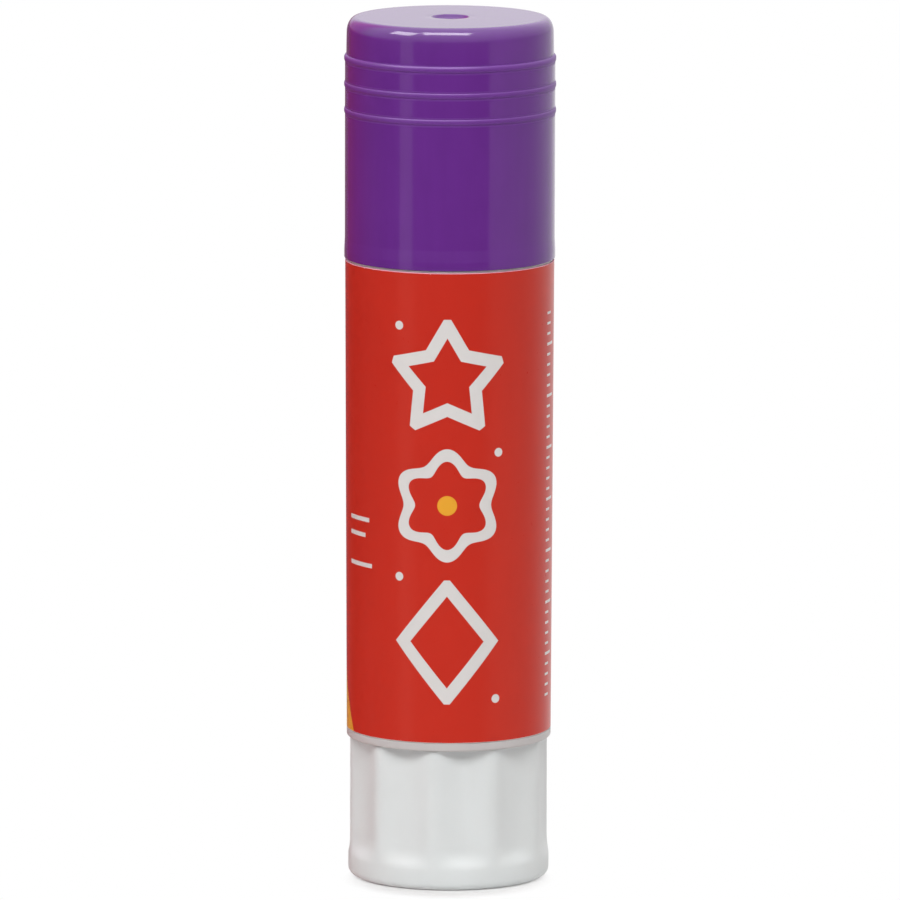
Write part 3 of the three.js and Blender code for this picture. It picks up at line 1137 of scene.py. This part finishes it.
def make_world():
    """White for the camera. Gloss sees a bright ceiling and backdrop, a pale wall on the right,
    pale ground and a faint glow on the left. All else gets a soft light from the right and the back."""
    world = bpy.data.worlds.new("studio")
    world.use_nodes = True
    bpy.context.scene.world = world
    tree = world.node_tree
    start = Socket(tree)
    across, along, up = split(start.node("TexCoord", output="Generated"))
    camera = start.node("LightPath", output="Is Camera Ray")
    glossy = start.node("LightPath", output="Is Glossy Ray")
    heading = across.math("ARCTAN2", 0 - along)

    wall_shade = 0.62 + 0.2 * fade(heading, 1.6, 2.3) + 0.13 * fade(heading, 2.4, 2.8)
    right_wall = fade(heading, 0.73, 0.79) * wall_shade
    backdrop = fade(up, -0.02, 0.06) * fade(along, -0.1, 0.5)
    ceiling = 0.1 + 0.62 * fade(up, -0.16, 0.15) + 2.0 * largest(up, 0.0)
    ground = 0.7 * fade(0 - up, 0.2, 0.4)
    left_glow = fade(0 - heading, 0.9, 2.2)
    behind_left = fade(0 - across, 0.15, 0.5) * fade(along, 0.2, 0.6) * fade(up, -0.08, 0.05)
    mirrored = largest(right_wall, backdrop, ceiling, ground, 0.42 * left_glow)
    mirrored = mirrored * (1 - 0.12 * behind_left)
    ambient = 0.13 + 0.48 * fade(heading, 0.4, 1.4) + 0.3 * fade(along, 0.1, 0.8)
    strength = blend_value(glossy, ambient, mirrored)
    strength = blend_value(camera, strength, 1.0)

    glow_colour = blend(fade(0 - heading, 2.5, 2.8), opaque(1.0, 0.12, 0.08), opaque(0.7, 0.36, 0.4))
    upper_colour = blend(behind_left, opaque(1, 1, 1), opaque(1.0, 0.4, 0.68))
    mirrored_colour = blend(left_glow * (1 - fade(up, 0.0, 0.1)), upper_colour, glow_colour)
    colour = blend(glossy, opaque(1.0, 0.95, 0.93), mirrored_colour)
    colour = blend(camera, colour, opaque(1, 1, 1))
    background = tree.nodes["Background"]
    tree.links.new(colour.output, background.inputs["Color"])
    tree.links.new(strength.output, background.inputs["Strength"])


def lamp(name, azimuth, elevation, away, size, power, colour=(1, 1, 1)):
    """A soft box that faces the middle of the object from some metres away, at angles in degrees.
    Azimuth 0 is the front, and 90 is the right."""
    light = bpy.data.lights.new(name, "AREA")
    light.shape = "RECTANGLE"
    light.size, light.size_y = size
    light.energy = power
    light.color = colour
    made = bpy.data.objects.new(name, light)
    bpy.context.scene.collection.objects.link(made)
    a = math.radians(azimuth)
    e = math.radians(elevation)
    toward = Vector((math.sin(a) * math.cos(e), -math.cos(a) * math.cos(e), math.sin(e)))
    aim = Vector((0, 0, 45 * MM))
    made.location = aim + toward * away
    made.rotation_euler = toward.to_track_quat("Z", "Y").to_euler()
    return made


def make_lamps():
    """Boxes light the colours and are not seen in the gloss. Gleams are seen in the gloss alone."""
    red = (1.0, 0.15, 0.10)
    front_box = lamp("front_box", -8, 52, away=1.0, size=(0.80, 0.40), power=8.2)
    left_box = lamp("left_box", -60, 42, away=1.0, size=(0.34, 0.34), power=1.15)
    front_gleam = lamp("front_gleam", -5, 56, away=1.0, size=(0.76, 0.34), power=8.6)
    left_gleam = lamp("left_gleam", -63, 42, away=0.97, size=(0.42, 0.34), power=4.4)
    lamp("left_strip", -49, -9, away=0.9, size=(0.24, 0.5), power=0.19)
    warm_fill = lamp("warm_fill", -100, 10, away=0.9, size=(0.5, 0.7), power=0.55, colour=red)
    for box in (front_box, left_box, warm_fill):
        box.visible_glossy = False
    for gleam in (front_gleam, left_gleam):
        gleam.visible_diffuse = False


def make_camera():
    """The photograph's viewpoint: a long lens 1.1 metres away, nine degrees above the horizon."""
    data = bpy.data.cameras.new("camera")
    data.lens = 464.87
    data.sensor_width = 36
    data.clip_start = 0.05
    data.clip_end = 20
    camera = bpy.data.objects.new("camera", data)
    bpy.context.scene.collection.objects.link(camera)
    camera.location = (0, -1.1, 0.2179)
    aim = Vector((0.000064, 0, 0.0412))
    look = (aim - camera.location).to_track_quat("-Z", "Y").to_matrix().to_4x4()
    lean = Matrix.Rotation(math.radians(0.13), 4, "Z")
    camera.rotation_euler = (look @ lean).to_euler()
    bpy.context.scene.camera = camera


make_floor()
make_world()
make_lamps()
make_camera()
bpy.context.scene.view_settings.view_transform = "Standard"
